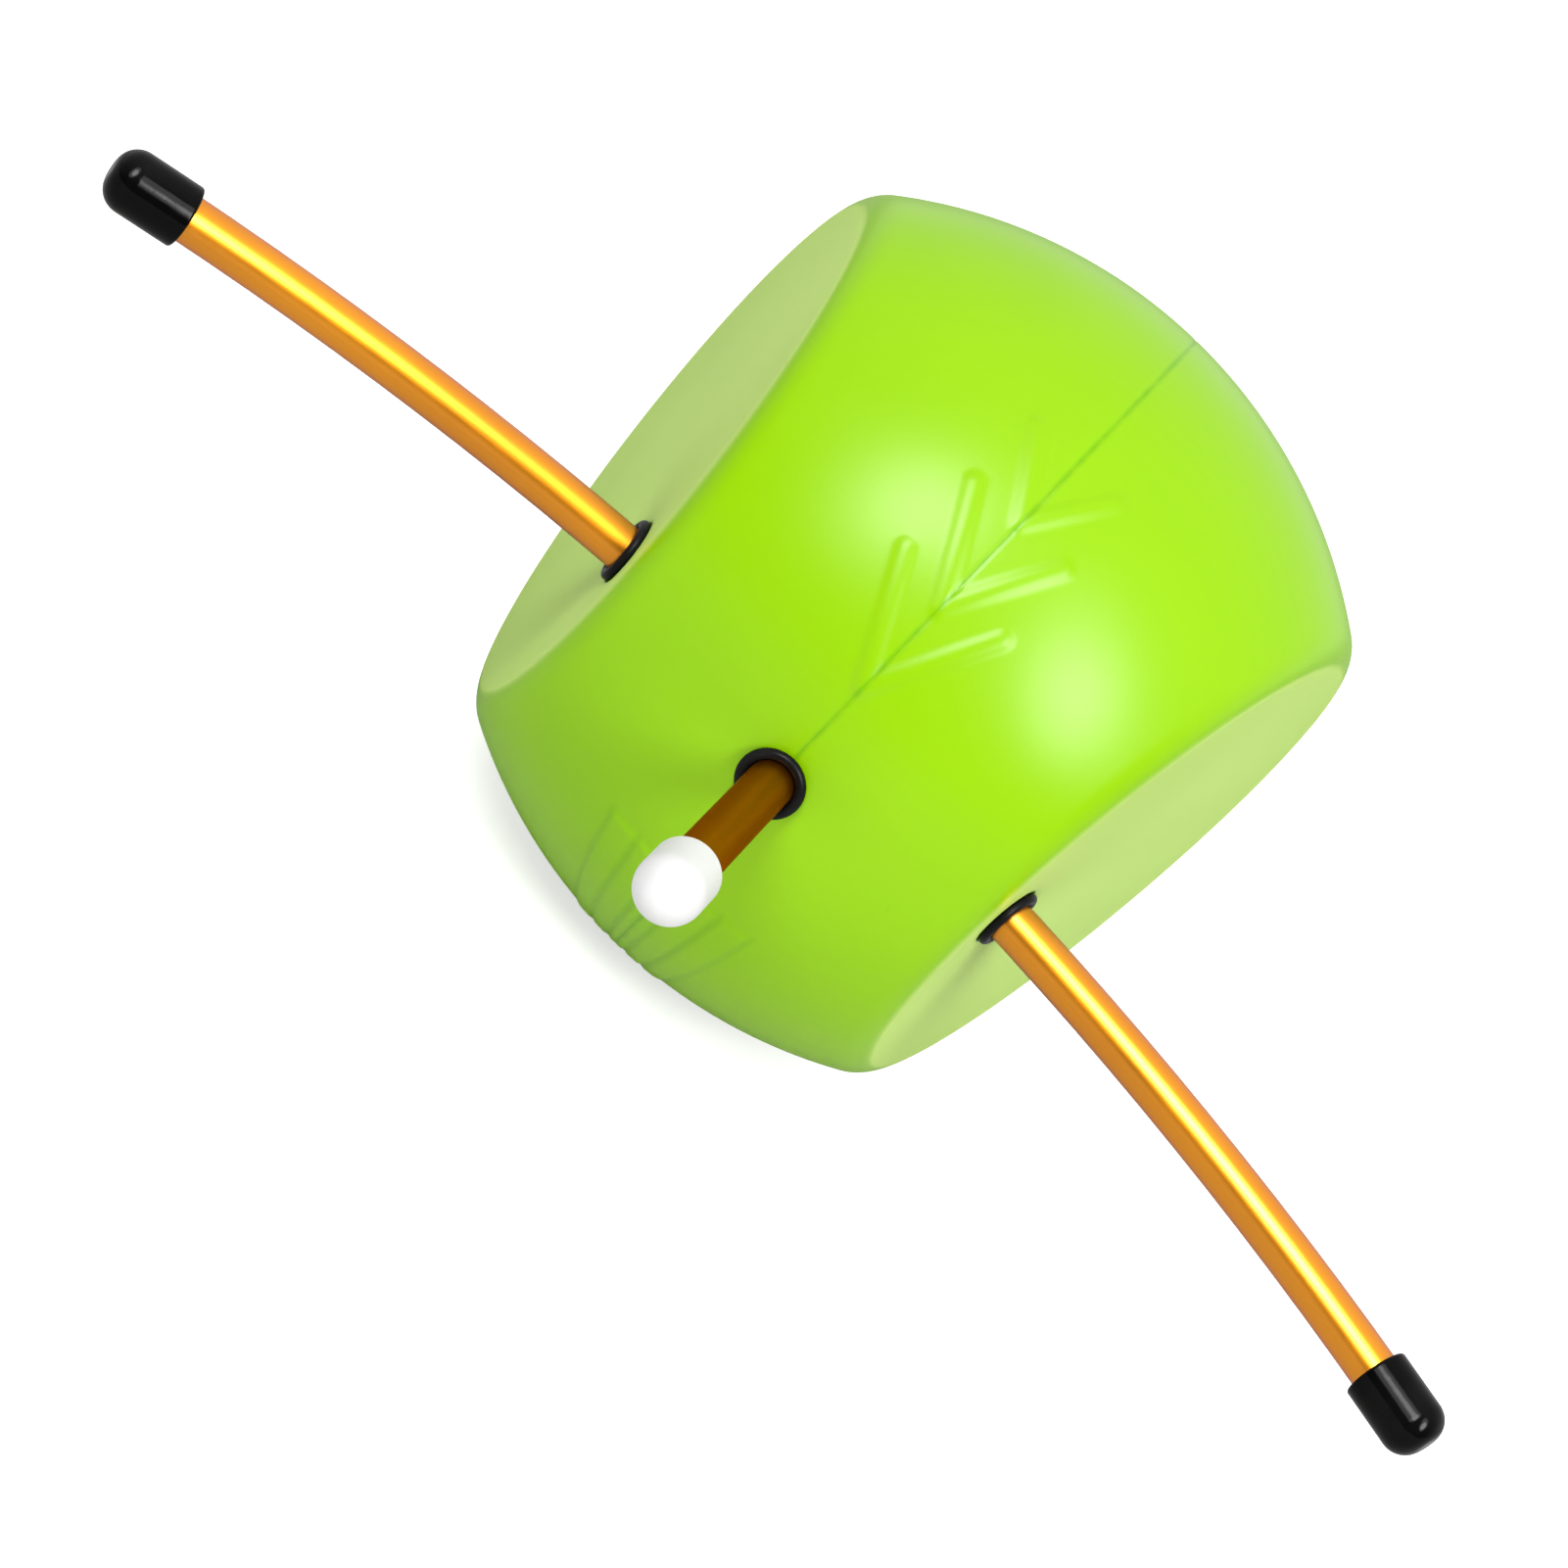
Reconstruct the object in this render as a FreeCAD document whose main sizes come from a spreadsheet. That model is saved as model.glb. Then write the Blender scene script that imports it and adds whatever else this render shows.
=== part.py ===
"""Desk bird: a hollow barrel-shaped body in two moulded halves, a bowed tube through
both side faces for wings, a straight tube for a beak, rubber rings and push-on caps.

Millimetres. +Z up, -Y is the front (the beak), X runs along the wings.
The origin is the centre of the small flat foot under the body.
Shapes are drawn about the centre of the body and lifted by centre_height at the end.
"""
import FreeCAD, Part
import math
import os

import Sketcher
from FreeCAD import Placement, Rotation, Vector

# alias, value, what it is
DIMENSIONS = (
    ("crown_radius", 55.0, "largest radius of the body, at the seam"),
    ("barrel_radius", 70.5, "radius of the barrel's side-to-side curve"),
    ("face_distance", 40.7, "body centre to the plane of a side face"),
    ("face_tilt", 14.15, "degrees that each side face looks forward"),
    ("rim_round", 6.5, "rounding between barrel and side face"),
    ("wall", 2.4, "wall of the moulded halves"),
    ("foot_cut", 0.7, "depth of the flat under the body"),
    ("blank_reach", 52.0, "half length of the turned blank before its ends are cut"),
    ("relief", 0.4, "height of the raised feathers"),
    ("relief_root", 1.0, "depth that a feather runs into the wall"),
    ("lip", 1.1, "thickness of the seam's tongue"),
    ("lip_reach", 1.5, "how far the tongue reaches into the other half"),
    ("lip_gap", 0.1, "room round the tongue"),
    ("tube_radius", 3.0, "outside of both tubes"),
    ("tube_wall", 0.8, "wall of both tubes"),
    ("tube_gap", 0.1, "radial room of the tubes in shell and block"),
    ("wing_radius", 232.7, "bend of the wing tube, at its centre line"),
    ("wing_centre", 269.9, "bend centre, this far in front of the body centre"),
    ("cap_start", 24.6, "degrees along the bend where a wing cap starts"),
    ("wing_slide", 0.48, "degrees that the wing tube rests slid towards +X"),
    ("beak_drop", 1.2, "beak axis below the wing plane"),
    ("beak_cap_start", 85.5, "body centre to the mouth of the beak cap"),
    ("beak_inner_end", 41.5, "body centre to the beak tube's inner end"),
    ("ring_section", 0.70, "section radius of a rubber ring"),
    ("ring_bore", 3.08, "inside radius of a rubber ring"),
    ("ring_gap", 0.06, "room between a ring and the shell"),
    ("ring_seat", 0.4, "depth of the round seat for a side ring"),
    ("cap_radius", 4.05, "outside radius of a wing cap"),
    ("cap_round", 3.0, "rounding of a wing cap's closed end"),
    ("beak_cap_radius", 4.2, "outside radius of the beak cap"),
    ("beak_cap_round", 4.0, "rounding of the beak cap's closed end"),
    ("cap_bore", 3.07, "inside radius of a cap"),
    ("cap_length", 10.3, "length of a wing cap"),
    ("beak_cap_length", 9.5, "length of the beak cap"),
    ("cap_end_wall", 2.2, "cap length less the depth of its bore"),
    ("cap_lip_round", 0.4, "rounding at a cap's mouth"),
    ("tube_end_gap", 0.2, "tube end to the bottom of its cap"),
    ("neck_radius", 5.5, "neck and cross barrel of the inner block"),
    ("flange_radius", 7.0, "flange that keeps the block in the shell"),
    ("flange_front", 50.2, "body centre to the front of the flange"),
    ("flange_thick", 2.8, "thickness of the flange"),
    ("block_front", 52.0, "body centre to the front of the block's neck"),
    ("block_width", 24.0, "length of the block's cross barrel"),
    ("collar_radius", 9.0, "outside of the collar behind the front hole"),
    ("collar_back", 44.5, "body centre to the back of the collar"),
    ("fit_gap", 0.15, "room round the block in its collar"),
    ("ballast_radius", 20.0, "steel disc"),
    ("ballast_thick", 6.0, "thickness of the steel disc"),
    ("ballast_floor", 7.5, "foot to the underside of the disc"),
    ("disc_bevel", 0.8, "chamfer round the disc"),
    ("post_radius", 3.5, "posts under the disc"),
    ("post_spacing", 9.0, "posts from the centre planes"),
    ("screw_radius", 1.2, "shank of a disc screw"),
    ("screw_length", 9.0, "shank length of a disc screw"),
    ("screw_room", 0.2, "radial room of a screw in the disc"),
    ("pilot_room", 0.4, "room under a screw's tip"),
    ("screw_head_radius", 2.4, "head of a disc screw"),
    ("screw_head_thick", 1.8, "head height of a disc screw"),
    ("screw_slot_width", 0.7, "slot across a screw's head"),
    ("screw_slot_depth", 0.8, "depth of that slot"),
)

# Raised chevrons above the beak: (angle at the seam, angle at the outer end, reach from the seam).
# Angles are degrees above the wing plane, measured round the body.
CHEVRONS = ((15.5, 33.0, 8.5), (29.0, 45.0, 8.1), (43.8, 57.0, 7.5))
CHEVRON_HALF_WIDTH = 1.5
CHEVRON_END_RADIUS = 1.6
CHEVRON_VIEW = 40.0

# Raised tail fan below the beak: five strips that narrow downwards.
TAIL_TOP_ANGLE = -23.5
TAIL_BOTTOM_ANGLE = -77.0
TAIL_VIEW = -50.0
TAIL_TOP_HALF = 11.6
TAIL_BOTTOM_HALF = 5.2
TAIL_EDGES = (0.0, 0.2, 0.6, 1.0)
TAIL_GROOVE = 0.35

SIDES = (("left", -1), ("right", 1))

doc = FreeCAD.newDocument("desk_bird")
sheet = doc.addObject("Spreadsheet::Sheet", "dims")
PARTS = []


def fill_sheet():
    """Write every driving dimension to the sheet, one row each."""
    for row, (alias, value, note) in enumerate(DIMENSIONS, start=1):
        sheet.set("A%d" % row, alias)
        sheet.set("B%d" % row, str(value))
        sheet.set("C%d" % row, note)
        sheet.setAlias("B%d" % row, alias)
    last = len(DIMENSIONS) + 1
    sheet.set("A%d" % last, "centre_height")
    sheet.set("B%d" % last, "=crown_radius - foot_cut")
    sheet.set("C%d" % last, "foot to the centre of the body")
    sheet.setAlias("B%d" % last, "centre_height")
    doc.recompute()


def size(alias):
    """The sheet's value of one dimension."""
    return float(sheet.get(alias))


def size_of(expression):
    """The value of an expression of dimensions."""
    return float(sheet.evalExpression(expression.replace("dims.", "")))


def bind(item, **expressions):
    """Tie properties of an object to the sheet; dots are written as double underscores."""
    for name, expression in expressions.items():
        item.setExpression(name.replace("__", "."), expression)


def plane(body, role):
    return [item for item in body.Origin.OriginFeatures if item.Role == role][0]


def sketch_on(body, role, name, turn=None):
    """A sketch on an origin plane, turned within the body by an optional rotation."""
    sketch = body.newObject("Sketcher::SketchObject", name)
    sketch.AttachmentSupport = (plane(body, role), [""])
    sketch.MapMode = "FlatFace"
    if turn is not None:
        sketch.AttachmentOffset = Placement(Vector(), turn)
    return sketch


def fix_point(sketch, geometry, end, across, up):
    """Hold one end of a line or arc, or a centre, at two sheet expressions."""
    for kind, expression in (("DistanceX", across), ("DistanceY", up)):
        constraint = Sketcher.Constraint(kind, -1, 1, geometry, end, size_of(expression))
        index = sketch.addConstraint(constraint)
        sketch.setExpression("Constraints[%d]" % index, expression)


def outline(sketch, points, arcs=None):
    """A closed outline through points given as sheet expressions.

    arcs maps the number of a side to (radius, centre across, centre up), for the
    sides that are round; they run clockwise about their centres.
    """
    arcs = arcs or {}
    spots = [Vector(size_of(across), size_of(up), 0) for across, up in points]
    for side, start in enumerate(spots):
        stop = spots[(side + 1) % len(spots)]
        if side in arcs:
            radius, across, up = [size_of(expression) for expression in arcs[side]]
            middle = Vector(across, up, 0)
            angles = [math.atan2((p - middle).y, (p - middle).x) for p in (stop, start)]
            circle = Part.Circle(middle, Vector(0, 0, 1), radius)
            sketch.addGeometry(Part.ArcOfCircle(circle, angles[0], angles[1]))
            index = sketch.addConstraint(Sketcher.Constraint("Radius", side, radius))
            sketch.setExpression("Constraints[%d]" % index, arcs[side][0])
        else:
            sketch.addGeometry(Part.LineSegment(start, stop))
    for side, (across, up) in enumerate(points):
        before = (side - 1) % len(points)
        first = 2 if side in arcs else 1
        last = 1 if before in arcs else 2
        fix_point(sketch, side, first, across, up)
        sketch.addConstraint(Sketcher.Constraint("Coincident", before, last, side, first))


def revolve(body, sketch, axis="V_Axis", groove=False):
    kind = "PartDesign::Groove" if groove else "PartDesign::Revolution"
    feature = body.newObject(kind, sketch.Name + "_turned")
    feature.Profile = sketch
    feature.ReferenceAxis = (sketch, [axis])
    feature.Angle = 360.0
    return feature


def boolean(kind, name, shapes):
    """Part::Cut takes two shapes; Part::MultiFuse and Part::MultiCommon take any number."""
    result = doc.addObject(kind, name)
    if kind == "Part::Cut":
        result.Base, result.Tool = shapes
    else:
        result.Shapes = shapes
    return result


def primitive(kind, name, place=None, **expressions):
    item = doc.addObject(kind, name)
    bind(item, **expressions)
    if place is not None:
        item.Placement = place
    return item


def finish_part(item, label, drop="0"):
    """Name a sub-part and lift it from the body's centre to its place over the foot."""
    item.Label = label
    bind(item, **{"Placement__Base__z": "dims.centre_height - (%s)" % drop})
    PARTS.append(item)


def turned_blank(body, side, inset):
    """Half a barrel about X, from the seam outwards, inset by the given expression."""
    sketch = sketch_on(body, "XZ_Plane", body.Name + "_profile")
    reach = "%d * dims.blank_reach" % side
    seam_height = "dims.crown_radius - (%s)" % inset
    bend = "dims.barrel_radius - (%s)" % inset
    bend_centre = "dims.crown_radius - dims.barrel_radius"
    end_height = "%s + sqrt((%s)^2 - dims.blank_reach^2)" % (bend_centre, bend)
    corners = [("0", "0"), ("0", seam_height), (reach, end_height), (reach, "0")]
    if side < 0:
        corners = [corners[0], corners[3], corners[2], corners[1]]
    arc_side = 1 if side > 0 else 2
    outline(sketch, corners, {arc_side: (bend, "0", bend_centre)})
    return revolve(body, sketch, "H_Axis")


def half_barrel(name, side, inset):
    """The turned blank with its tilted side face cut and the rim rounded."""
    body = doc.addObject("PartDesign::Body", name)
    turned_blank(body, side, inset)
    tilt = Rotation(Vector(0, 0, 1), -side * size("face_tilt"))
    cut_sketch = sketch_on(body, "XY_Plane", name + "_face_line", tilt)
    near = "%d * (dims.face_distance - (%s))" % (side, inset)
    far = "%d * (dims.face_distance + dims.blank_reach)" % side
    low = "-2 * dims.crown_radius"
    high = "2 * dims.crown_radius"
    outline(cut_sketch, [(near, low), (far, low), (far, high), (near, high)])
    cut = body.newObject("PartDesign::Pocket", name + "_face")
    cut.Profile = cut_sketch
    cut.Type = 1
    cut.Midplane = True
    doc.recompute()
    plane_distance = size("face_distance") - size_of(inset)
    angle = math.radians(size("face_tilt"))
    normal = Vector(side * math.cos(angle), -math.sin(angle), 0)
    rim_edges = []
    for number, edge in enumerate(cut.Shape.Edges, start=1):
        middle = edge.valueAt(sum(edge.ParameterRange) / 2)
        if all(abs(p.dot(normal) - plane_distance) < 1e-3 for p in (middle, edge.Vertexes[0].Point)):
            rim_edges.append("Edge%d" % number)
    rim = body.newObject("PartDesign::Fillet", name + "_rim")
    rim.Base = (cut, rim_edges)
    bind(rim, Radius="dims.rim_round - (%s)" % inset)
    doc.recompute()
    return body


def around(angle, view):
    """Height of a point on the crown at an angle, as seen square to the view angle."""
    return "dims.crown_radius * sin(%.2f deg)" % (angle - view)


def feather_prism(name, view, outlines, side):
    """Outlines drawn square to the view angle and pushed out through the wall."""
    body = doc.addObject("PartDesign::Body", name)
    for number, (points, arcs) in enumerate(outlines):
        sketch = sketch_on(body, "XZ_Plane", "%s_outline%d" % (name, number),
                           Rotation(Vector(1, 0, 0), -view))
        if side < 0:
            points = [points[0]] + points[:0:-1]
            arcs = {len(points) - 1 - n: arc for n, arc in arcs.items()}
        mirrored = [("%d * (%s)" % (side, across), up) for across, up in points]
        arcs = {n: (r, "%d * (%s)" % (side, cx), cy) for n, (r, cx, cy) in arcs.items()}
        outline(sketch, mirrored, arcs)
        pad = body.newObject("PartDesign::Pad", "%s_pad%d" % (name, number))
        pad.Profile = sketch
        bind(pad, Length="dims.crown_radius + 2 * dims.relief")
    doc.recompute()
    return body


def chevron_outlines():
    """Each arm starts on the seam and ends round."""
    outlines = []
    half = CHEVRON_HALF_WIDTH
    set_back = math.sqrt(CHEVRON_END_RADIUS ** 2 - half ** 2)
    for seam_angle, end_angle, reach in CHEVRONS:
        start = size("crown_radius") * math.sin(math.radians(seam_angle - CHEVRON_VIEW))
        stop = size("crown_radius") * math.sin(math.radians(end_angle - CHEVRON_VIEW))
        along = Vector(reach, stop - start, 0).normalize()
        aside = Vector(-along.y, along.x, 0) * half
        first = Vector(0, start, 0)
        centre = Vector(reach, stop, 0) - along * CHEVRON_END_RADIUS
        last = centre + along * set_back
        corners = [first + aside, last + aside, last - aside, first - aside]
        points = [("%.3f" % p.x, "%.3f" % p.y) for p in corners]
        round_end = (str(CHEVRON_END_RADIUS), "%.3f" % centre.x, "%.3f" % centre.y)
        outlines.append((points, {1: round_end}))
    return outlines


def tail_outlines():
    """Half of the middle strip and the two strips beside it."""
    top = around(TAIL_TOP_ANGLE, TAIL_VIEW)
    bottom = around(TAIL_BOTTOM_ANGLE, TAIL_VIEW)
    outlines = []
    for inner, outer in zip(TAIL_EDGES, TAIL_EDGES[1:]):
        inner_gap = TAIL_GROOVE if inner else 0.0
        outer_gap = TAIL_GROOVE if outer < 1.0 else 0.0
        corners = (
            ("%.3f" % (inner * TAIL_TOP_HALF + inner_gap), top),
            ("%.3f" % (outer * TAIL_TOP_HALF - outer_gap), top),
            ("%.3f" % (outer * TAIL_BOTTOM_HALF - outer_gap), bottom),
            ("%.3f" % (inner * TAIL_BOTTOM_HALF + inner_gap), bottom),
        )
        outlines.append((list(corners), {}))
    return outlines


def feathers(name, view, outlines, side):
    """Raised patches that follow the barrel, rooted in the wall."""
    prism = feather_prism(name + "_prism", view, outlines, side)
    raised = doc.addObject("PartDesign::Body", name + "_raised")
    turned_blank(raised, side, "-dims.relief")
    core = doc.addObject("PartDesign::Body", name + "_core")
    turned_blank(core, side, "dims.relief_root")
    doc.recompute()
    patch = boolean("Part::MultiCommon", name + "_patch", [prism, raised])
    return boolean("Part::Cut", name, [patch, core])


def seam_band(name, inner, outer, reach):
    """A thin hoop about X on the far side of the seam, for the tongue or its groove."""
    body = doc.addObject("PartDesign::Body", name)
    sketch = sketch_on(body, "XZ_Plane", name + "_profile")
    outline(sketch, [("-dims.lip", inner), (reach, inner), (reach, outer), ("-dims.lip", outer)])
    revolve(body, sketch, "H_Axis")
    return body


def collar(name, side):
    """Half of the collar behind the front hole, with a groove for the block's flange."""
    body = doc.addObject("PartDesign::Body", name)
    sketch = sketch_on(body, "XY_Plane", name + "_profile")
    bore = "dims.neck_radius + dims.fit_gap"
    deep = "dims.flange_radius + dims.fit_gap"
    front = "-(dims.crown_radius - dims.wall / 2)"
    groove_front = "-(dims.flange_front + dims.fit_gap)"
    groove_back = "-(dims.flange_front - dims.flange_thick - dims.fit_gap)"
    outline(sketch, [(bore, front), (bore, groove_front), (deep, groove_front),
                     (deep, groove_back), (bore, groove_back), (bore, "-dims.collar_back"),
                     ("dims.collar_radius", "-dims.collar_back"), ("dims.collar_radius", front)])
    revolve(body, sketch)
    body.Placement.Base.z = -size("beak_drop")
    keep = half_space(name + "_side", side)
    return boolean("Part::MultiCommon", name + "_half", [body, keep])


def half_space(name, side):
    """A box on one side of the seam, larger than the body."""
    reach = 4 * size("crown_radius")
    corner = Vector(0 if side > 0 else -reach, -reach / 2, -reach / 2)
    return primitive("Part::Box", name, Placement(corner, Rotation()),
                     Length="4 * dims.crown_radius", Width="4 * dims.crown_radius",
                     Height="4 * dims.crown_radius")


def floor_posts(side):
    """Two posts from the shell's floor to the underside of the ballast disc."""
    posts = []
    low = -size("crown_radius") + size("wall") / 2
    for end in (-1, 1):
        name = "post_%d_%d" % (side + 1, end + 1)
        spot = Vector(side * size("post_spacing"), end * size("post_spacing"), low)
        posts.append(primitive("Part::Cylinder", name, Placement(spot, Rotation()),
                               Radius="dims.post_radius",
                               Height="dims.ballast_floor + dims.foot_cut - dims.wall / 2"))
    return posts


def wing_arc(name, radius, half_angle, slide=0.0):
    """A round bar bent to the wing's arc, slid along it from the middle; angles in degrees."""
    start = Placement(Vector(0, -size("wing_centre"), 0),
                      Rotation(Vector(0, 0, 1), 90.0 - half_angle - slide))
    bar = primitive("Part::Torus", name, start, Radius1="dims.wing_radius", Radius2=radius)
    bar.Angle3 = 2 * half_angle
    return bar


def forward_bar(name, radius, front, back):
    """A round bar along Y at the beak's height."""
    place = Placement(Vector(0, -size_of(back), -size("beak_drop")), Rotation(Vector(1, 0, 0), 90.0))
    return primitive("Part::Cylinder", name, place, Radius=radius,
                     Height="(%s) - (%s)" % (front, back))


def ring_middle(side):
    """Where the wing's arc passes the middle plane of a side ring, and the face's normal."""
    tilt = math.radians(size("face_tilt"))
    normal = Vector(side * math.cos(tilt), -math.sin(tilt), 0)
    distance = size_of("dims.face_distance - dims.ring_seat + dims.ring_section + dims.ring_gap")
    rise = (distance - size("wing_centre") * math.sin(tilt)) / size("wing_radius")
    angle = math.asin(rise) + tilt
    on_arc = Vector(side * math.sin(angle), math.cos(angle), 0) * size("wing_radius")
    return on_arc - Vector(0, size("wing_centre"), 0), normal


def side_seat(label, side):
    """The shallow round seat in which a side ring sits."""
    middle, normal = ring_middle(side)
    floor = middle - normal * size_of("dims.ring_section + dims.ring_gap")
    return primitive("Part::Cylinder", label + "_seat", Placement(floor, Rotation(Vector(0, 0, 1), normal)),
                     Radius="dims.ring_bore + 2 * dims.ring_section + dims.ring_gap",
                     Height="2 * dims.ring_seat")


def shell(label, side):
    """One moulded half: wall, feathers, collar, posts, seam joint and holes."""
    outer = half_barrel(label + "_outer", side, "0")
    cavity = half_barrel(label + "_cavity", side, "dims.wall")
    skin = boolean("Part::Cut", label + "_skin", [outer, cavity])
    chevrons = feathers(label + "_chevrons", CHEVRON_VIEW, chevron_outlines(), side)
    tail = feathers(label + "_tail", TAIL_VIEW, tail_outlines(), side)
    fittings = [collar(label + "_collar", side)] + floor_posts(side)
    inner = boolean("Part::MultiFuse", label + "_inner", fittings)
    rooted = boolean("Part::MultiCommon", label + "_rooted", [inner, outer])
    solids = [skin, chevrons, tail, rooted]
    if side < 0:
        solids.append(seam_band("seam_tongue", "dims.crown_radius - dims.wall",
                                "dims.crown_radius - dims.wall + dims.lip", "dims.lip_reach"))
    joined = boolean("Part::MultiFuse", label + "_joined", solids)
    tools = shell_tools(label, side)
    result = boolean("Part::Cut", label, [joined, boolean("Part::MultiFuse", label + "_tools", tools)])
    finish_part(result, label)


def shell_tools(label, side):
    """Everything that is cut from one half: the foot, both holes, groove or pilot holes."""
    foot = primitive("Part::Box", label + "_foot",
                     Placement(Vector(-2, -1, -1) * size("crown_radius"), Rotation()),
                     Length="4 * dims.crown_radius", Width="2 * dims.crown_radius",
                     Height="dims.foot_cut")
    bore_radius = "dims.tube_radius + dims.tube_gap"
    tools = [foot, side_seat(label, side),
             wing_arc(label + "_wing_bore", bore_radius, size("cap_start")),
             forward_bar(label + "_beak_bore", bore_radius, "2 * dims.crown_radius",
                         "dims.block_front - 2 * dims.wall")]
    if side > 0:
        tools.append(seam_band("seam_groove", "dims.crown_radius - dims.wall - dims.lip_gap",
                               "dims.crown_radius - dims.wall + dims.lip + dims.lip_gap",
                               "dims.lip_reach + dims.lip_gap"))
        return tools
    floor = size("ballast_floor") - size("centre_height")
    for end in (-1, 1):
        spot = Vector(-size("post_spacing"), end * size("post_spacing"), floor)
        place = Placement(spot, Rotation(Vector(1, 0, 0), 180.0))
        tools.append(primitive("Part::Cylinder", "pilot_%d" % (end + 1), place,
                               Radius="dims.screw_radius",
                               Height="dims.screw_length - dims.ballast_thick + dims.pilot_room"))
    return tools


def wing_tube():
    """The bowed tube; each end stops just short of the bottom of its cap."""
    inserted = size("cap_length") - size("cap_end_wall") - size("tube_end_gap")
    half_angle = size("cap_start") + math.degrees(inserted / size("wing_radius"))
    slide = size("wing_slide")
    outer = wing_arc("wing_outer", "dims.tube_radius", half_angle, slide)
    bore = wing_arc("wing_bore", "dims.tube_radius - dims.tube_wall", half_angle, slide)
    finish_part(boolean("Part::Cut", "wing_tube", [outer, bore]), "wing_tube")


def beak_tube():
    """The straight tube, from the inner block to the bottom of its cap."""
    tip = "dims.beak_cap_start + dims.beak_cap_length - dims.cap_end_wall - dims.tube_end_gap"
    outer = forward_bar("beak_outer", "dims.tube_radius", tip, "dims.beak_inner_end")
    bore = forward_bar("beak_bore", "dims.tube_radius - dims.tube_wall", tip, "dims.beak_inner_end")
    finish_part(boolean("Part::Cut", "beak_tube", [outer, bore]), "beak_tube")


def cap(label, kind, place):
    """A push-on cap: round end, blind bore, rounded mouth. Its mouth is at the local origin."""
    body = doc.addObject("PartDesign::Body", label)
    sketch = sketch_on(body, "XZ_Plane", label + "_profile")
    radius, length, tip_round = ["dims.%s_%s" % (kind, word) for word in ("radius", "length", "round")]
    shoulder = "%s - %s" % (length, tip_round)
    flat = "%s - %s" % (radius, tip_round)
    depth = "%s - dims.cap_end_wall" % length
    outline(sketch, [("0", depth), ("0", length), (flat, length), (radius, shoulder),
                     (radius, "0"), ("dims.cap_bore", "0"), ("dims.cap_bore", depth)],
            {2: (tip_round, flat, shoulder)})
    turned = revolve(body, sketch)
    doc.recompute()
    mouth = [n for n, edge in enumerate(turned.Shape.Edges, start=1)
             if abs(edge.BoundBox.ZMax) < 1e-6 and edge.BoundBox.XMax > size_of(radius) - 0.01]
    lip = body.newObject("PartDesign::Fillet", label + "_lip")
    lip.Base = (turned, ["Edge%d" % n for n in mouth])
    bind(lip, Radius="dims.cap_lip_round")
    body.Label = label
    body.Placement = place
    PARTS.append(body)


def wing_cap(side_name, side):
    """A cap lies along the bend's tangent at the middle of its grip on the tube."""
    grip = size("cap_length") - size("cap_end_wall")
    angle = math.radians(size("cap_start") + side * size("wing_slide"))
    angle += grip / 2 / size("wing_radius")
    tangent = Vector(side * math.cos(angle), -math.sin(angle), 0)
    middle = Vector(side * math.sin(angle), math.cos(angle), 0) * size("wing_radius")
    mouth = middle - tangent * (grip / 2) + Vector(0, -size("wing_centre"), size("centre_height"))
    cap("cap_" + side_name, "cap", Placement(mouth, Rotation(Vector(0, 0, 1), tangent)))


def beak_cap():
    mouth = Vector(0, -size("beak_cap_start"), size("centre_height") - size("beak_drop"))
    place = Placement(mouth, Rotation(Vector(0, 0, 1), Vector(0, -1, 0)))
    cap("cap_beak", "beak_cap", place)


def ring(label, middle, normal):
    """A rubber ring square to the surface at its hole."""
    item = primitive("Part::Torus", label, Placement(middle, Rotation(Vector(0, 0, 1), normal)),
                     Radius1="dims.ring_bore + dims.ring_section",
                     Radius2="dims.ring_section")
    item.Label = label
    PARTS.append(item)


def side_ring(side_name, side):
    middle, normal = ring_middle(side)
    ring("ring_" + side_name, middle + Vector(0, 0, size("centre_height")), normal)


def front_ring():
    """Its lowest line clears the barrel, which curves away to both sides of the hole."""
    front = -size_of("dims.crown_radius + dims.ring_section + dims.ring_gap")
    middle = Vector(0, front, size("centre_height") - size("beak_drop"))
    ring("ring_front", middle, Vector(0, -1, 0))


def tee_block():
    """Neck and flange held by the shell's collar, with a cross barrel for the wing tube."""
    body = doc.addObject("PartDesign::Body", "block_blank")
    neck = sketch_on(body, "XY_Plane", "block_profile")
    bow = "-(dims.wing_centre - dims.wing_radius)"
    flange_back = "-(dims.flange_front - dims.flange_thick)"
    outline(neck, [("0", "-dims.block_front"), ("0", bow), ("dims.neck_radius", bow),
                   ("dims.neck_radius", flange_back), ("dims.flange_radius", flange_back),
                   ("dims.flange_radius", "-dims.flange_front"),
                   ("dims.neck_radius", "-dims.flange_front"),
                   ("dims.neck_radius", "-dims.block_front")])
    revolve(body, neck)
    cross = sketch_on(body, "YZ_Plane", "cross_circle")
    middle = Vector(size_of(bow), size("beak_drop"), 0)
    cross.addGeometry(Part.Circle(middle, Vector(0, 0, 1), size("neck_radius")))
    fix_point(cross, 0, 3, bow, "dims.beak_drop")
    cross.setExpression("Constraints[%d]" % cross.addConstraint(
        Sketcher.Constraint("Radius", 0, size("neck_radius"))), "dims.neck_radius")
    barrel = body.newObject("PartDesign::Pad", "cross_barrel")
    barrel.Profile = cross
    barrel.Midplane = True
    bind(barrel, Length="dims.block_width")
    socket = sketch_on(body, "XY_Plane", "socket_profile")
    bore = "dims.tube_radius + dims.tube_gap"
    bottom = "-(dims.beak_inner_end - dims.tube_end_gap)"
    mouth = "-(dims.block_front + dims.wall)"
    outline(socket, [("0", mouth), ("0", bottom), (bore, bottom), (bore, mouth)])
    revolve(body, socket, groove=True)
    doc.recompute()
    channel = wing_arc("block_channel", bore, size("cap_start") / 2)
    channel.Placement.Base.z = size("beak_drop")
    result = boolean("Part::Cut", "tee", [body, channel])
    finish_part(result, "tee_block", "dims.beak_drop")


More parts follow.
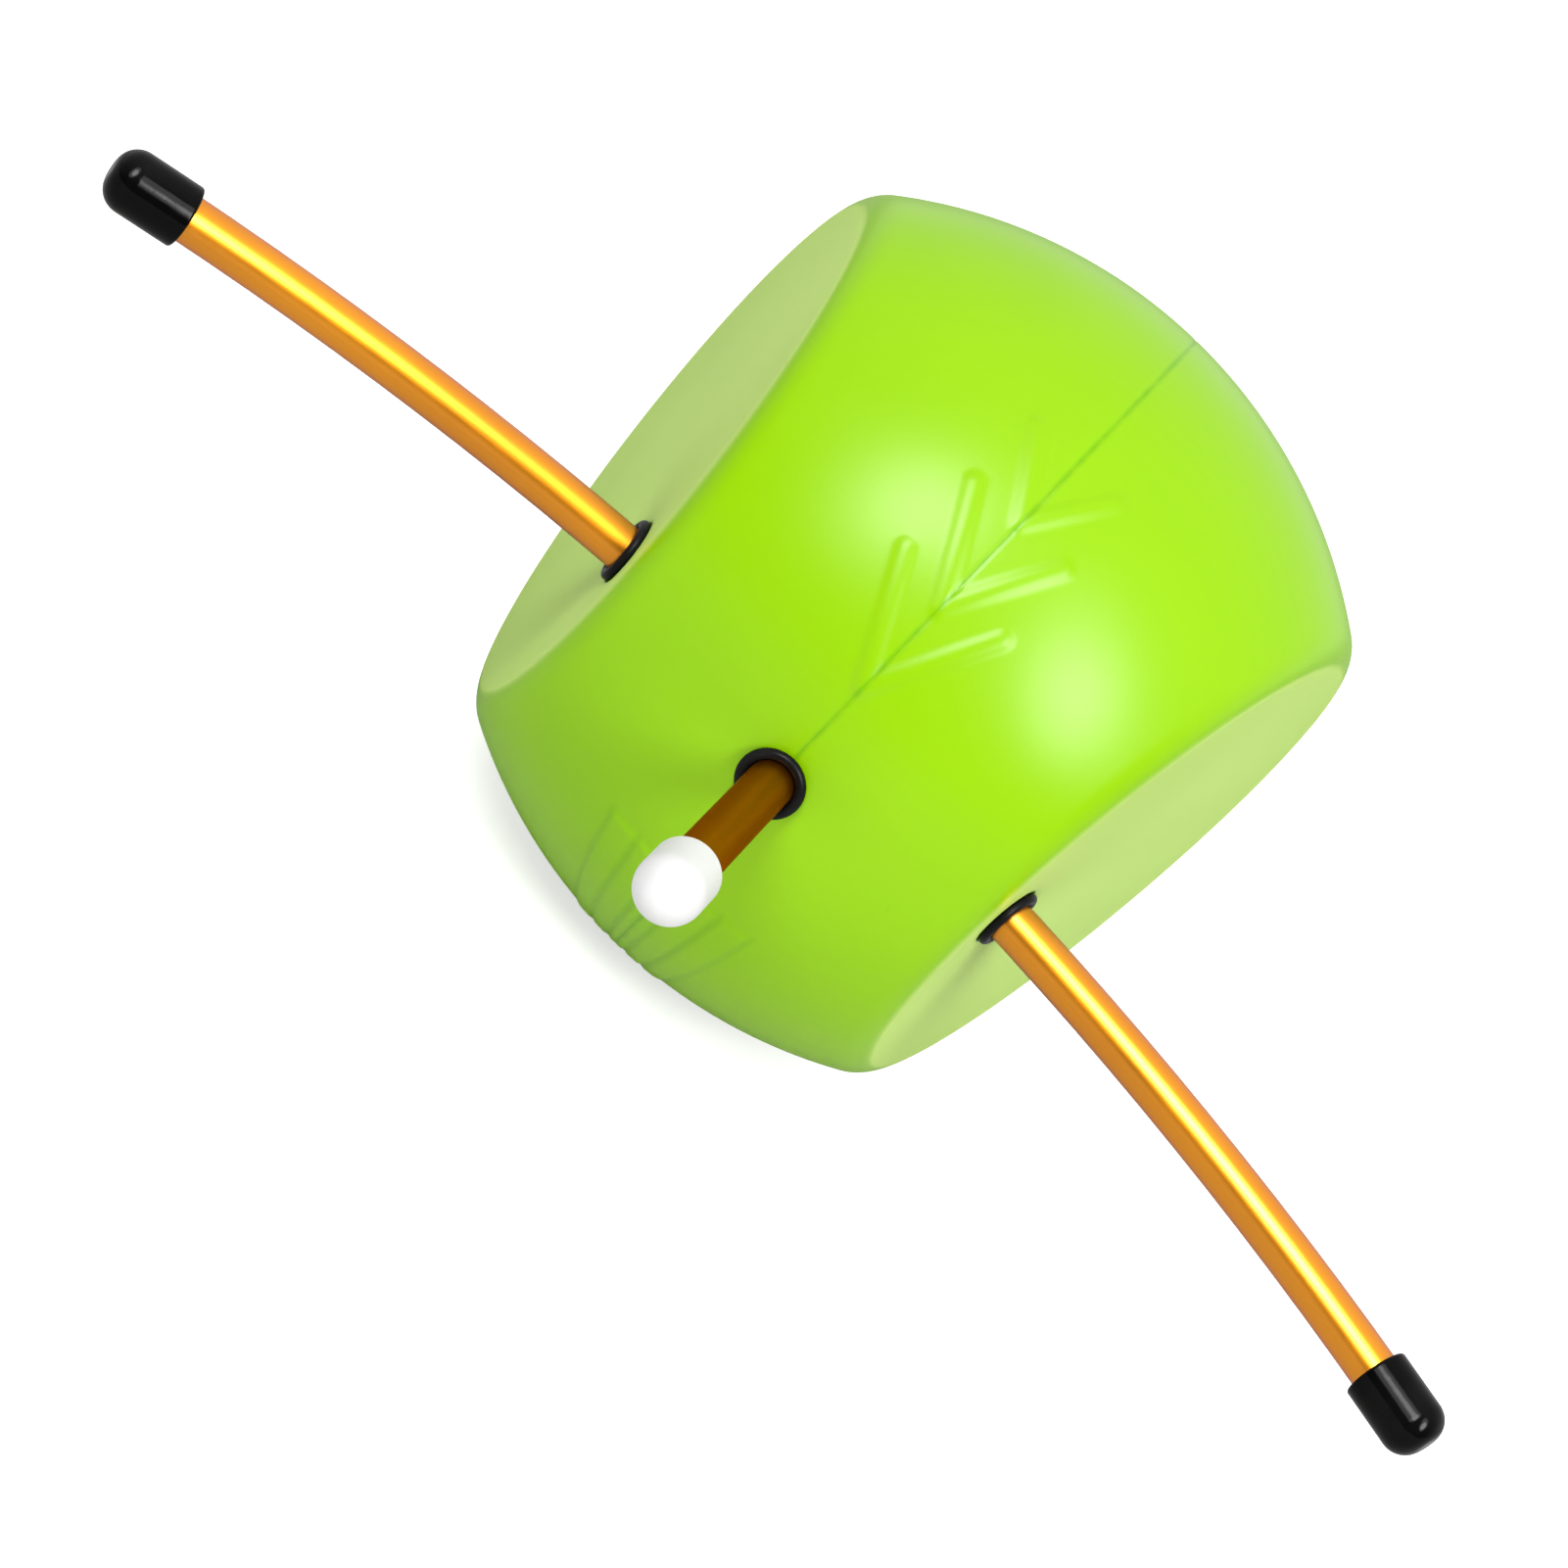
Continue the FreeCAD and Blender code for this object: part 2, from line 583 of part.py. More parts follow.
def ballast():
    """A chamfered steel disc with two clearance holes over the left half's posts."""
    body = doc.addObject("PartDesign::Body", "ballast")
    sketch = sketch_on(body, "XY_Plane", "disc_circle")
    sketch.addGeometry(Part.Circle(Vector(), Vector(0, 0, 1), size("ballast_radius")))
    sketch.addConstraint(Sketcher.Constraint("Coincident", 0, 3, -1, 1))
    index = sketch.addConstraint(Sketcher.Constraint("Radius", 0, size("ballast_radius")))
    sketch.setExpression("Constraints[%d]" % index, "dims.ballast_radius")
    disc = body.newObject("PartDesign::Pad", "disc")
    disc.Profile = sketch
    bind(disc, Length="dims.ballast_thick")
    holes = sketch_on(body, "XY_Plane", "disc_holes")
    clearance = "dims.screw_radius + dims.screw_room"
    for number, end in enumerate((-1, 1)):
        spot = Vector(-size("post_spacing"), end * size("post_spacing"), 0)
        holes.addGeometry(Part.Circle(spot, Vector(0, 0, 1), size_of(clearance)))
        fix_point(holes, number, 3, "-dims.post_spacing", "%d * dims.post_spacing" % end)
        index = holes.addConstraint(Sketcher.Constraint("Radius", number, size_of(clearance)))
        holes.setExpression("Constraints[%d]" % index, clearance)
    doc.recompute()
    drilled = body.newObject("PartDesign::Pocket", "drilled")
    drilled.Profile = holes
    drilled.Type = 1
    drilled.Reversed = True
    doc.recompute()
    rims = ["Edge%d" % n for n, edge in enumerate(drilled.Shape.Edges, start=1)
            if edge.BoundBox.ZLength < 1e-6 and edge.BoundBox.XMax > size("ballast_radius") - 0.01]
    bevel = body.newObject("PartDesign::Chamfer", "disc_bevel")
    bevel.Base = (drilled, rims)
    bind(bevel, Size="dims.disc_bevel")
    body.Label = "ballast"
    body.setExpression("Placement.Base.z", "dims.ballast_floor")
    PARTS.append(body)


def ballast_screws():
    """Two pan-head screws with a straight slot, one over each post of the left half."""
    screws = []
    seat = size("ballast_floor") + size("ballast_thick")
    for end in (-1, 1):
        spot = Vector(-size("post_spacing"), end * size("post_spacing"), seat)
        tag = "screw%d_" % (end + 1)
        head = primitive("Part::Cylinder", tag + "head", Placement(spot, Rotation()),
                         Radius="dims.screw_head_radius", Height="dims.screw_head_thick")
        shank = primitive("Part::Cylinder", tag + "shank",
                          Placement(spot, Rotation(Vector(1, 0, 0), 180.0)),
                          Radius="dims.screw_radius", Height="dims.screw_length")
        slot_corner = spot + Vector(-size("screw_head_radius"), -size("screw_slot_width") / 2,
                                    size("screw_head_thick") - size("screw_slot_depth"))
        slot = primitive("Part::Box", tag + "slot", Placement(slot_corner, Rotation()),
                         Length="2 * dims.screw_head_radius", Width="dims.screw_slot_width",
                         Height="dims.screw_slot_depth")
        joined = boolean("Part::MultiFuse", tag + "blank", [head, shank])
        screws.append(boolean("Part::Cut", tag + "slotted", [joined, slot]))
    pair = doc.addObject("Part::Compound", "ballast_screws")
    pair.Links = screws
    pair.Label = "ballast_screws"
    PARTS.append(pair)


def check_document():
    """Stop on any failed object or unusable shape."""
    doc.recompute()
    for item in doc.Objects:
        bad = [state for state in item.State if state in ("Invalid", "Error")]
        if bad:
            raise RuntimeError("%s is %s" % (item.Name, bad))
    for item in PARTS:
        if item.Shape.isNull() or not item.Shape.isValid():
            raise RuntimeError("%s has no valid shape" % item.Label)


def write_parts():
    os.makedirs("parts", exist_ok=True)
    for item in PARTS:
        item.Shape.exportStep("parts/%s.step" % item.Label)
        box = item.Shape.BoundBox
        print("%-15s solids %d  volume %9.1f  x %.2f %.2f  y %.2f %.2f  z %.2f %.2f" % (
            item.Label, len(item.Shape.Solids), item.Shape.Volume,
            box.XMin, box.XMax, box.YMin, box.YMax, box.ZMin, box.ZMax))


def main():
    fill_sheet()
    for side_name, side in SIDES:
        shell("shell_" + side_name, side)
        side_ring(side_name, side)
        wing_cap(side_name, side)
    wing_tube()
    beak_tube()
    front_ring()
    beak_cap()
    tee_block()
    ballast()
    ballast_screws()
    check_document()
    write_parts()


main()
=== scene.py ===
import math

import bmesh
import bpy
import numpy as np
from mathutils import Matrix, Vector


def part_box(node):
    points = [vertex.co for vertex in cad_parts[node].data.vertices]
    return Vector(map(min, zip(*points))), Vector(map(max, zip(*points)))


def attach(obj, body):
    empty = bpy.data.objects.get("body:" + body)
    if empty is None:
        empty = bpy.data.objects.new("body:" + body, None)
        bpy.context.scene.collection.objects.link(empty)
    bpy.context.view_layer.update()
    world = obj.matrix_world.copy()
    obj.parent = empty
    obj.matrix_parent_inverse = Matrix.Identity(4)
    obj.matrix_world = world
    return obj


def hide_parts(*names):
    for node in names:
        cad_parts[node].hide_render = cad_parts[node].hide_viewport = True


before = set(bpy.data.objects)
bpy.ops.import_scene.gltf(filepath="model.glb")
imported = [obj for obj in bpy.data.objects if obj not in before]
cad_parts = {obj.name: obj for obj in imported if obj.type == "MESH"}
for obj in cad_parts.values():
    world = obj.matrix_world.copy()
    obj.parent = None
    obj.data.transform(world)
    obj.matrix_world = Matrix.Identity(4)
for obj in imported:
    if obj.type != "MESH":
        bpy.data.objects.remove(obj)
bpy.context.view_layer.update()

MM = 0.001
TINY = 1e-6
MAP_RANGE_SOCKETS = ("From Min", "From Max", "To Min", "To Max")

# Sizes of the body that the frame doesn't carry by itself, in millimetres and radians.
BARREL_RADIUS = 70.5
FACE_DISTANCE = 40.7
FACE_TILT = math.radians(14.15)
FACE_NORMAL = np.array([math.cos(FACE_TILT), -math.sin(FACE_TILT), 0.0])
RIM_ROUND = 6.5
WALL = 2.4
TUBE_GAP_RADIUS = 3.1
WING_RADIUS = 232.7
WING_CENTRE = 269.9
RING_SECTION = 0.70
RING_BORE = 3.08
RING_GAP = 0.06
RING_SEAT = 0.4
BEAK_DROP = 1.2

# The seam between the halves: its width, how its edges are rounded, and how far the painted shade
# along it reaches.
SEAM_GAP = 0.008
SEAM_ROUND = 0.06
SEAM_ROUND_REACH = 0.55
SEAM_SHADE = (0.15, 0.55)

# The raised feathers: their height, and how far an edge takes to rise from the skin.
CHEVRON_RELIEF = 0.27
TAIL_RELIEF = 0.26
BAR_EDGE = (-0.95, 0.25)
TAIL_EDGE = (-0.7, 0.4)
TAIL_LOWER_EDGE = (-0.4, 0.7)
GROOVE_EDGE = (0.1, 0.7)
GROOVE_FLOOR = 0.35
# How far the painted shade reaches from the tail fan's grooves and outline, in millimetres.
GROOVE_SHADE = (0.15, 0.75)

# Each chevron: its angle at the seam and at its outer end in degrees, and its reach sideways.
CHEVRONS = ((15.5, 33.0, 8.5), (29.0, 45.0, 8.1), (43.8, 57.0, 7.5))
CHEVRON_HALF_WIDTH = 1.5

# The tail fan: the angles of its ends, its half widths there, and where its grooves run.
TAIL_TOP = math.radians(-23.5)
TAIL_BOTTOM = math.radians(-77.0)
TAIL_TOP_HALF = 11.6
TAIL_BOTTOM_HALF = 5.2
TAIL_LINES = (0.2, 0.6)

SHELL_LOW, SHELL_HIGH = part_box("shell_right")
CROWN = (SHELL_HIGH[1] - SHELL_LOW[1]) / 2 / MM
CENTRE_HEIGHT = SHELL_HIGH[2] / MM - CROWN
FOOT = -CENTRE_HEIGHT

# The view: direction and lean in degrees, the camera's place in crown radii from the body's
# middle, lens and sensor in millimetres.
CAMERA_AZIMUTH = -0.4
CAMERA_ELEVATION = 26.2
CAMERA_LEAN = 44.135
CAMERA_DISTANCE = 7.95
CAMERA_ASIDE = -0.0290
CAMERA_ABOVE = 0.4469
CAMERA_LENS = 75.5
CAMERA_SENSOR = 36.0

# The studio: how far its bright side is turned up in degrees, from where to where it brightens,
# and its darkest and brightest levels.
WORLD_TURN = -30.0
WORLD_SPAN = (-0.45, 0.6)
WORLD_LEVELS = (0.04, 1.00)

# The floor: its half width in metres, its own glow, and the greys that the bird's surfaces get.
FLOOR_REACH = 6.0
FLOOR_GLOW = 0.66
FLOOR_GREYS = (("Is Diffuse Ray", 0.76), ("Is Glossy Ray", 0.27))

# Each softbox: azimuth and elevation in degrees, distance, width and height in metres, watts.
SOFTBOXES = {
    "softbox_left": (-27.0, 48.0, 2.6, 1.20, 2.20, 42.0),
    "softbox_right": (43.0, 42.0, 2.6, 1.20, 2.20, 42.0),
    "lamp_left": (-24.0, 49.0, 2.5, 0.75, 1.10, 46.0),
    "lamp_right": (43.0, 38.0, 2.5, 0.75, 1.10, 46.0),
}


# ---------------------------------------------------------------- camera and lights

def look_frame(azimuth, elevation):
    """Unit vectors to the viewer, to the viewer's right and up, for a view from the front."""
    az, el = math.radians(azimuth), math.radians(elevation)
    toward = Vector((math.sin(az) * math.cos(el), -math.cos(az) * math.cos(el), math.sin(el)))
    right = Vector((math.cos(az), math.sin(az), 0))
    return toward, right, toward.cross(right)


def add_camera():
    """A view from the front and above, with the bird leaning to the right in the picture."""
    lean = math.radians(CAMERA_LEAN)
    toward, right, up = look_frame(CAMERA_AZIMUTH, CAMERA_ELEVATION)
    middle = Vector((0, 0, CENTRE_HEIGHT)) * MM
    offset = toward * CAMERA_DISTANCE - right * CAMERA_ASIDE - up * CAMERA_ABOVE
    spot = middle + offset * CROWN * MM
    screen_up = up * math.cos(lean) - right * math.sin(lean)
    screen_right = right * math.cos(lean) + up * math.sin(lean)
    data = bpy.data.cameras.new("camera")
    data.sensor_width = CAMERA_SENSOR
    data.lens = CAMERA_LENS
    data.clip_start = 0.01
    data.clip_end = 30.0
    camera = bpy.data.objects.new("camera", data)
    axes = Matrix((screen_right, screen_up, toward)).transposed().to_4x4()
    camera.matrix_world = Matrix.Translation(spot) @ axes
    bpy.context.scene.collection.objects.link(camera)
    bpy.context.scene.camera = camera


def add_softbox(name, azimuth, elevation, distance, width, height, power):
    """An oval area light that faces the middle of the body."""
    toward = look_frame(azimuth, elevation)[0]
    data = bpy.data.lights.new(name, "AREA")
    data.shape = "ELLIPSE"
    data.size = width
    data.size_y = height
    data.energy = power
    light = bpy.data.objects.new(name, data)
    target = Vector((0, 0, CENTRE_HEIGHT)) * MM
    spot = target + toward * distance
    light.location = spot
    light.rotation_euler = (target - spot).to_track_quat("-Z", "Y").to_euler()
    bpy.context.scene.collection.objects.link(light)


def add_world():
    """A studio that is dark behind the camera and bright overhead and behind the bird."""
    world = bpy.data.worlds.new("studio")
    bpy.context.scene.world = world
    world.use_nodes = True
    nodes, links = world.node_tree.nodes, world.node_tree.links
    nodes.clear()
    place = nodes.new("ShaderNodeTexCoord")
    split = nodes.new("ShaderNodeSeparateXYZ")
    turned = nodes.new("ShaderNodeMapping")
    turned.inputs["Rotation"].default_value = (math.radians(WORLD_TURN), 0, 0)
    ramp = nodes.new("ShaderNodeMapRange")
    ramp.interpolation_type = "SMOOTHSTEP"
    for socket, value in zip(MAP_RANGE_SOCKETS, WORLD_SPAN + WORLD_LEVELS):
        ramp.inputs[socket].default_value = value
    back = nodes.new("ShaderNodeBackground")
    out = nodes.new("ShaderNodeOutputWorld")
    links.new(place.outputs["Generated"], turned.inputs["Vector"])
    links.new(turned.outputs[0], split.inputs[0])
    links.new(split.outputs["Y"], ramp.inputs["Value"])
    links.new(ramp.outputs["Result"], back.inputs["Strength"])
    back.inputs["Color"].default_value = (1, 1, 1, 1)
    links.new(back.outputs[0], out.inputs[0])


def add_floor():
    """A pale floor: white to the camera, greyer in what it gives and shows to the bird."""
    data = bpy.data.meshes.new("floor")
    reach = FLOOR_REACH
    corners = [(-reach, -reach, 0), (reach, -reach, 0), (reach, reach, 0), (-reach, reach, 0)]
    data.from_pydata(corners, [], [(0, 1, 2, 3)])
    floor = bpy.data.objects.new("floor", data)
    bpy.context.scene.collection.objects.link(floor)
    paint = bpy.data.materials.new("floor_paint")
    paint.use_nodes = True
    tree = paint.node_tree
    shader = tree.nodes["Principled BSDF"]
    shader.inputs["Base Color"].default_value = (0.50, 0.50, 0.50, 1)
    shader.inputs["Emission Color"].default_value = (1, 1, 1, 1)
    shader.inputs["Emission Strength"].default_value = FLOOR_GLOW
    shader.inputs["Roughness"].default_value = 0.9
    shader.inputs["Specular IOR Level"].default_value = 0.1
    ray = tree.nodes.new("ShaderNodeLightPath")
    below = shader.outputs[0]
    for kind, level in FLOOR_GREYS:
        grey = tree.nodes.new("ShaderNodeBsdfDiffuse")
        grey.inputs["Color"].default_value = (level, level, level, 1)
        either = tree.nodes.new("ShaderNodeMixShader")
        tree.links.new(ray.outputs[kind], either.inputs[0])
        tree.links.new(below, either.inputs[1])
        tree.links.new(grey.outputs[0], either.inputs[2])
        below = either.outputs[0]
    tree.links.new(below, tree.nodes["Material Output"].inputs["Surface"])
    data.materials.append(paint)


# ---------------------------------------------------------------- materials

class Paint:
    """A Principled material with its node links kept short."""

    def __init__(self, name, **sockets):
        self.material = bpy.data.materials.new(name)
        self.material.use_nodes = True
        self.tree = self.material.node_tree
        self.shader = self.tree.nodes["Principled BSDF"]
        self.place = self.tree.nodes.new("ShaderNodeTexCoord")
        for socket, value in sockets.items():
            self.shader.inputs[socket.replace("_", " ")].default_value = value

    def add(self, kind, **values):
        node = self.tree.nodes.new("ShaderNode" + kind)
        for key, value in values.items():
            setattr(node, key, value)
        return node

    def link(self, source, target):
        self.tree.links.new(source, target)

    def noise(self, scale, detail=3.0, roughness=0.5, stretch=(1, 1, 1)):
        mapping = self.add("Mapping")
        mapping.inputs["Scale"].default_value = stretch
        texture = self.add("TexNoise")
        texture.inputs["Scale"].default_value = scale
        texture.inputs["Detail"].default_value = detail
        texture.inputs["Roughness"].default_value = roughness
        self.link(self.place.outputs["Object"], mapping.inputs["Vector"])
        self.link(mapping.outputs[0], texture.inputs["Vector"])
        return texture.outputs["Fac"]

    def remap(self, source, low, high, out_low, out_high):
        node = self.add("MapRange")
        node.clamp = True
        for socket, value in zip(MAP_RANGE_SOCKETS, (low, high, out_low, out_high)):
            node.inputs[socket].default_value = value
        self.link(source, node.inputs["Value"])
        return node.outputs["Result"]

    def mix(self, factor, first, second):
        """Blend two colours; each is an RGB tuple or the output of another node."""
        node = self.add("Mix", data_type="RGBA")
        self.link(factor, node.inputs["Factor"])
        for socket, colour in ((node.inputs[6], first), (node.inputs[7], second)):
            if isinstance(colour, tuple):
                socket.default_value = colour + (1,)
            else:
                self.link(colour, socket)
        return node.outputs[2]

    def attribute(self, name):
        return self.add("Attribute", attribute_name=name).outputs["Fac"]

    def colour(self, source):
        self.link(source, self.shader.inputs["Base Color"])

    def roughness(self, source):
        self.link(source, self.shader.inputs["Roughness"])

    def bump(self, source, distance, strength=1.0):
        node = self.add("Bump")
        node.inputs["Distance"].default_value = distance
        node.inputs["Strength"].default_value = strength
        self.link(source, node.inputs["Height"])
        self.link(node.outputs[0], self.shader.inputs["Normal"])


def lime_plastic():
    """Moulded lime plastic: satin barrel, paler frosted side faces, painted shade in the seam and the
    tail grooves.
    """
    paint = Paint("lime_plastic", IOR=1.5)
    paint.shader.inputs["Specular IOR Level"].default_value = 0.17
    lime, light_lime, speck_green = (0.134, 0.284, 0.0), (0.147, 0.303, 0.0), (0.105, 0.26, 0.0)
    frost, light_frost = (0.262, 0.388, 0.074), (0.288, 0.414, 0.090)
    # Painted shade colours: darker green for the seam groove between the halves, and for the tail
    # fan's grooves.
    seam_shade_green, groove_shade_green = (0.085, 0.235, 0.0), (0.07, 0.20, 0.0)
    frosted_roughness = 0.55
    drift = paint.remap(paint.noise(18.0, 2.0), 0.35, 0.65, 0.0, 1.0)
    barrel = paint.mix(drift, lime, light_lime)
    specks = paint.remap(paint.noise(900.0, 2.0), 0.72, 0.80, 0.0, 0.35)
    barrel = paint.mix(specks, barrel, speck_green)
    frosted = paint.mix(drift, frost, light_frost)
    skin = paint.mix(paint.attribute("side_face"), barrel, frosted)
    # Painted shade along the seam groove, broken up by beads of noise.
    beads = paint.remap(paint.noise(420.0, 3.0), 0.30, 0.62, 0.25, 0.75)
    seam = paint.add("Math", operation="MULTIPLY")
    paint.link(beads, seam.inputs[0])
    paint.link(paint.attribute("seam_shade_line"), seam.inputs[1])
    seam_shaded = paint.mix(seam.outputs[0], skin, seam_shade_green)
    # Painted shade in the tail fan's grooves and along its outline.
    shade = paint.remap(paint.attribute("groove_shade_line"), 0.0, 1.0, 0.0, 0.30)
    paint.colour(paint.mix(shade, seam_shaded, groove_shade_green))
    gloss = paint.remap(paint.noise(60.0, 4.0), 0.3, 0.7, 0.285, 0.315)
    matte = paint.add("Mix", data_type="FLOAT")
    paint.link(paint.attribute("side_face"), matte.inputs[0])
    paint.link(gloss, matte.inputs[2])
    matte.inputs[3].default_value = frosted_roughness
    paint.roughness(matte.outputs[0])
    paint.bump(paint.noise(700.0, 2.0), 0.000006, 0.3)
    return paint.material


def anodised(name, light, dark, edge, roughness, coat, grain):
    """Drawn and dyed aluminium tube: faint lengthwise drawing marks and soft dye drift."""
    paint = Paint(name, Metallic=1.0, Coat_Weight=coat, Coat_Roughness=0.26)
    paint.shader.inputs["Specular Tint"].default_value = edge + (1,)
    drift = paint.remap(paint.noise(35.0, 3.0), 0.3, 0.7, 0.0, 1.0)
    paint.colour(paint.mix(drift, light, dark))
    marks = paint.noise(500.0, 3.0, 0.5, grain)
    paint.roughness(paint.remap(marks, 0.3, 0.7, roughness - 0.02, roughness + 0.02))
    paint.bump(marks, 0.000002, 0.05)
    return paint.material


def rubber(name, base, worn, low, high):
    """Black elastomer: slight bloom on top of black, small pores."""
    paint = Paint(name)
    paint.shader.inputs["Specular IOR Level"].default_value = 0.08
    bloom = paint.remap(paint.noise(160.0, 4.0), 0.45, 0.75, 0.0, 1.0)
    paint.colour(paint.mix(bloom, base, worn))
    grain = paint.noise(500.0, 3.0)
    paint.roughness(paint.remap(grain, 0.3, 0.7, low, high))
    paint.bump(grain, 0.00003, 0.35)
    return paint.material


def white_vinyl():
    """Soft white vinyl: faint clouding, and a little light carried below the skin."""
    paint = Paint("white_vinyl", Subsurface_Weight=0.15)
    paint.shader.inputs["Subsurface Radius"].default_value = (0.002, 0.002, 0.002)
    cloud = paint.remap(paint.noise(130.0, 3.0), 0.35, 0.7, 0.0, 1.0)
    paint.colour(paint.mix(cloud, (0.40, 0.40, 0.40), (0.37, 0.37, 0.368)))
    grain = paint.noise(420.0, 3.0)
    paint.roughness(paint.remap(grain, 0.3, 0.7, 0.38, 0.50))
    paint.bump(grain, 0.00004, 0.4)
    return paint.material


def inner_plastic():
    """Dark grey moulded plastic with a fine grain."""
    paint = Paint("inner_plastic")
    grain = paint.noise(300.0, 4.0)
    paint.colour(paint.mix(grain, (0.045, 0.045, 0.05), (0.08, 0.08, 0.085)))
    paint.roughness(paint.remap(grain, 0.3, 0.7, 0.45, 0.62))
    paint.bump(grain, 0.00005, 0.5)
    return paint.material


def plated_steel(name, tint):
    """Plated steel: darker patches, and marks drawn out along one way."""
    paint = Paint(name, Metallic=1.0)
    patches = paint.remap(paint.noise(90.0, 5.0), 0.3, 0.7, 0.0, 1.0)
    darker = tuple(channel * 0.8 for channel in tint)
    paint.colour(paint.mix(patches, tint, darker))
    marks = paint.noise(800.0, 3.0, 0.6, (1, 1, 0.15))
    paint.roughness(paint.remap(marks, 0.3, 0.7, 0.28, 0.42))
    paint.bump(marks, 0.00002, 0.5)
    return paint.material


# ---------------------------------------------------------------- body shells

def body_distance(points):
    """Signed distance to the right half's rounded skin, and its gradient, about the centre."""
    x, y, z = points.T
    radial = np.hypot(y, z)
    reach = radial + BARREL_RADIUS - CROWN
    length = np.hypot(x, reach)
    barrel_normal = np.stack([x / length, reach / length * y / radial, reach / length * z / radial], 1)
    to_barrel = length - BARREL_RADIUS
    to_face = points @ FACE_NORMAL - FACE_DISTANCE
    a = to_barrel + RIM_ROUND
    b = to_face + RIM_ROUND
    lean = barrel_normal @ FACE_NORMAL
    at_rim = (a > lean * b) & (b > lean * a)
    spread = np.maximum(1 - lean ** 2, 1e-9)
    span = np.sqrt(np.maximum(a * a + b * b - 2 * lean * a * b, 1e-12) / spread)
    share_a = ((a - lean * b) / spread / span)[:, None]
    share_b = ((b - lean * a) / spread / span)[:, None]
    rim_normal = share_a * barrel_normal + share_b * FACE_NORMAL
    use_barrel = (to_barrel >= to_face) & ~at_rim
    distance = np.where(at_rim, span - RIM_ROUND, np.maximum(to_barrel, to_face))
    normal = np.where(at_rim[:, None], rim_normal,
                      np.where(use_barrel[:, None], barrel_normal, FACE_NORMAL))
    return distance, normal


def steps(*spans):
    """Rising values; each span is (from, to, number of steps)."""
    values = []
    for start, stop, count in spans:
        values.extend(np.linspace(start, stop, count, endpoint=False))
    return np.array(values)


def corner_of_meridian(angles):
    """Where barrel and side face meet, in the half plane at each angle: x and radius."""
    first_guess = 35.0
    x = np.full_like(angles, first_guess)
    drift = np.cos(angles) * math.sin(FACE_TILT)
    newton_steps = 40
    for _ in range(newton_steps):
        root = np.sqrt(BARREL_RADIUS ** 2 - x ** 2)
        radius = CROWN - BARREL_RADIUS + root
        error = x * math.cos(FACE_TILT) + radius * drift - FACE_DISTANCE
        slope = math.cos(FACE_TILT) - x / root * drift
        x = x - error / slope
    return x, CROWN - BARREL_RADIUS + np.sqrt(BARREL_RADIUS ** 2 - x ** 2)


def ramp_up(value, low, high):
    """0 below low, 1 above high, smooth between."""
    share = np.clip((value - low) / (high - low), 0, 1)
    return share * share * (3 - 2 * share)


def bar_height(x, climb, start, stop, half_width):
    """A round-ended bar between two points of the unrolled skin, with soft edges."""
    start, stop = np.array(start), np.array(stop)
    along = stop - start
    spots = np.stack([x, climb], 1)
    share = np.clip((spots - start) @ along / (along @ along), 0, 1)
    away = np.linalg.norm(spots - start - share[:, None] * along, axis=1)
    flat = 1 - ramp_up(away - half_width, *BAR_EDGE)
    rounding = 0.2
    return flat * (1 - rounding + rounding * np.cos(np.clip(away / half_width, 0, 1) * math.pi))


def tail_fan(angle):
    """How far down the tail fan each angle is, from 0 to 1, and the fan's half width there."""
    share = (TAIL_TOP - angle) / (TAIL_TOP - TAIL_BOTTOM)
    return share, TAIL_TOP_HALF + (TAIL_BOTTOM_HALF - TAIL_TOP_HALF) * share


def relief_height(x, angle):
    """Height of the raised feathers above the barrel, in millimetres."""
    climb = angle * CROWN
    height = np.zeros_like(x)
    for seam_angle, end_angle, half in CHEVRONS:
        start = (0.0, math.radians(seam_angle) * CROWN)
        stop = (half, math.radians(end_angle) * CROWN)
        away = np.array(stop) - np.array(start)
        stop = np.array(stop) - away / np.linalg.norm(away) * CHEVRON_HALF_WIDTH
        height = np.maximum(height, bar_height(x, climb, start, stop, CHEVRON_HALF_WIDTH))
    half = tail_fan(angle)[1]
    inside = 1 - ramp_up(x - half, *TAIL_EDGE)
    inside = inside * (1 - ramp_up(climb - TAIL_TOP * CROWN, *TAIL_EDGE))
    inside = inside * ramp_up(climb - TAIL_BOTTOM * CROWN, *TAIL_LOWER_EDGE)
    for line in TAIL_LINES:
        groove = ramp_up(np.abs(x - half * line), *GROOVE_EDGE)
        inside = inside * (GROOVE_FLOOR + (1 - GROOVE_FLOOR) * groove)
    return np.maximum(CHEVRON_RELIEF * height, TAIL_RELIEF * inside)


def groove_shade(x, angle):
    """1 along the tail fan's grooves and outline, where painted shade darkens the skin; 0 elsewhere.
    """
    share, half = tail_fan(angle)
    on_fan = ramp_up(share, -0.03, 0.0) * (1 - ramp_up(share, 0.97, 1.0))
    away = np.min([np.abs(x - half * line) for line in TAIL_LINES + (1.0,)], axis=0)
    sides = (1 - ramp_up(away, *GROOVE_SHADE)) * on_fan
    end_away = np.minimum(np.abs(share), np.abs(share - 1)) * (TAIL_TOP - TAIL_BOTTOM) * CROWN
    ends = (1 - ramp_up(end_away, *GROOVE_SHADE)) * (1 - ramp_up(x - half, 0.0, 0.4))
    end_strength = 0.6
    return np.maximum(sides, end_strength * ends)


